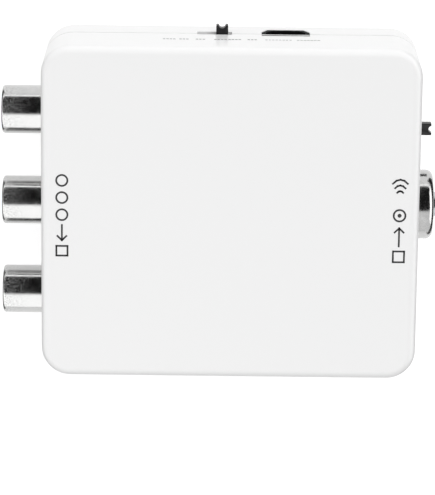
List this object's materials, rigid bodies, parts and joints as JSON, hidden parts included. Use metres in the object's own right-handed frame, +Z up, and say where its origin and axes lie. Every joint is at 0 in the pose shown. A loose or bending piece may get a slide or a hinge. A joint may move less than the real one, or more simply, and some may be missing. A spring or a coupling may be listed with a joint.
{
  "type": "composite video to aerial converter box",
  "caption": "Small white converter box with phono jacks on one side, a coaxial aerial socket on the other, a small power socket and slide switches.",
  "frame": {"origin": "centre of the underside, which the box stands on", "axes": "+Z up, +X towards the aerial output side, -X towards the phono jack side, +Y towards the side with the power socket and the channel switch"},
  "size_m": [0.0749, 0.0595, 0.02],
  "materials": {
    "case_plastic": "glossy moulded white",
    "screw_steel": "zinc-plated steel",
    "board_laminate": "green solder mask",
    "nickel_plate": "bright nickel plate",
    "tin_plate": "tin plate",
    "gold_plate": "gold-flashed bronze",
    "video_plastic": "moulded yellow",
    "left_audio_plastic": "moulded white",
    "right_audio_plastic": "moulded red",
    "insulator_plastic": "milky moulded",
    "black_plastic": "satin black",
    "switch_base_board": "brown laminate",
    "chip_moulding": "matt moulding compound",
    "can_metal": "plain aluminium",
    "ferrite": "matt dark grey",
    "ceramic": "matt ceramic"
  },
  "bodies": {
    "case": {"top_cover": "case_plastic", "bottom_tray": "case_plastic", "case_screws": "screw_steel", "circuit_board": "board_laminate", "board_screws": "screw_steel", "video_jack_barrel": "nickel_plate", "video_jack_body": "video_plastic", "video_jack_contact": "tin_plate", "left_audio_jack_barrel": "nickel_plate", "left_audio_jack_body": "left_audio_plastic", "left_audio_jack_contact": "tin_plate", "right_audio_jack_barrel": "nickel_plate", "right_audio_jack_body": "right_audio_plastic", "right_audio_jack_contact": "tin_plate", "rf_socket_shell": "nickel_plate", "rf_socket_insulator": "insulator_plastic", "rf_socket_contact": "tin_plate", "power_socket_shell": "nickel_plate", "power_socket_insulator": "black_plastic", "power_socket_contacts": "gold_plate", "channel_switch_frame": "tin_plate", "channel_switch_base": "switch_base_board", "channel_switch_terminals": "tin_plate", "system_switch_frame": "tin_plate", "system_switch_base": "switch_base_board", "system_switch_terminals": "tin_plate", "modulator_shield_frame": "tin_plate", "modulator_shield_lid": "tin_plate", "modulator_chip": "chip_moulding", "control_chip": "chip_moulding", "quartz_crystal": "tin_plate", "electrolytic_capacitors": "can_metal", "power_choke": "ferrite", "voltage_regulator": "chip_moulding", "chip_resistors": "ferrite", "chip_capacitors": "ceramic"},
    "channel_knob": {"channel_switch_knob": "black_plastic", "channel_switch_clips": "gold_plate"},
    "system_knob": {"system_switch_knob": "black_plastic", "system_switch_clips": "gold_plate"}
  },
  "joints": [
    {"name": "channel_slide", "type": "slide", "parent": "case", "child": "channel_knob", "axis": [1, 0, 0], "range_m": [-0.0026, 0]},
    {"name": "system_slide", "type": "slide", "parent": "case", "child": "system_knob", "axis": [0, 1, 0], "range_m": [0, 0.0026]}
  ]
}
